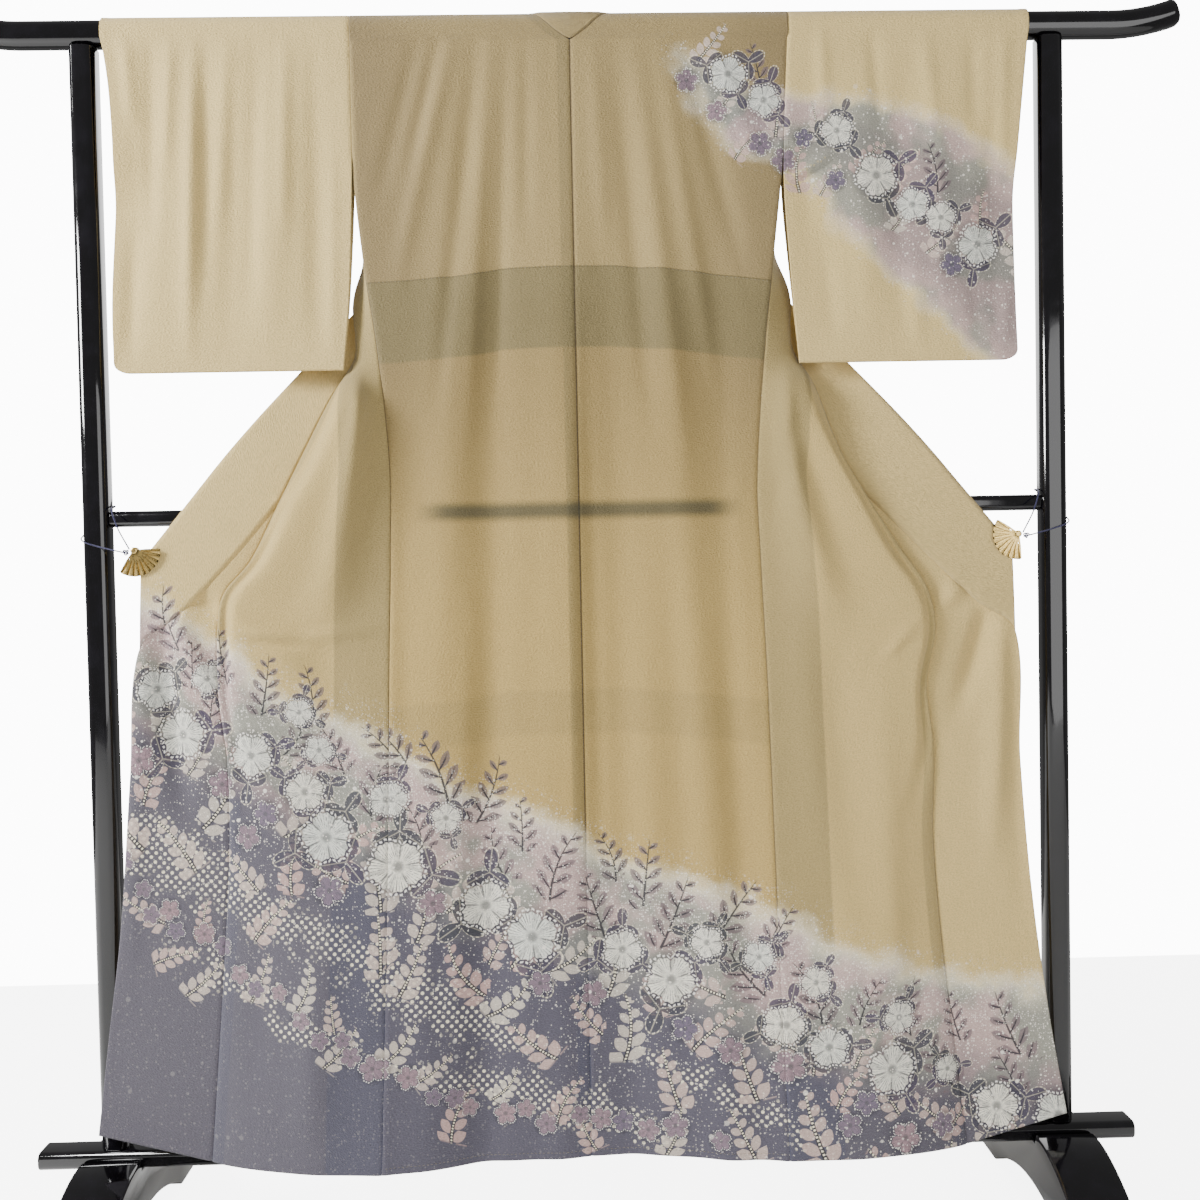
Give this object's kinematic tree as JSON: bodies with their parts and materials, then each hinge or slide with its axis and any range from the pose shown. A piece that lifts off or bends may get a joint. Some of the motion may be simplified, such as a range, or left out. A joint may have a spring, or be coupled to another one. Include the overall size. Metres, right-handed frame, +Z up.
{
  "type": "silk kimono on a lacquered kimono stand",
  "caption": "Unlined silk crepe kimono spread with its back to the front on a black lacquered stand, front edges held out by fan clips.",
  "frame": {"origin": "on the floor, under the middle of the stand", "axes": "+X to the right as seen facing the garment's back, +Y away from the viewer, +Z up"},
  "size_m": [1.7214, 0.42, 1.7271],
  "materials": {
    "silk_crepe": "matt silk crepe with graded dye",
    "lacquer": "black gloss lacquer",
    "brass": "polished brass",
    "braid": "thin purple-blue braid"
  },
  "bodies": {
    "root": {"body_left": "silk_crepe", "body_right": "silk_crepe", "sleeve_left": "silk_crepe", "sleeve_right": "silk_crepe", "overlap_left": "silk_crepe", "overlap_right": "silk_crepe", "collar": "silk_crepe", "stand_rod": "lacquer", "stand_rail": "lacquer", "stand_plank": "lacquer", "stand_post_left": "lacquer", "stand_post_right": "lacquer", "stand_foot_left": "lacquer", "stand_foot_right": "lacquer", "fan_clip_left": "brass", "fan_clip_right": "brass", "clip_cord_left": "braid", "clip_cord_right": "braid"}
  },
  "joints": []
}
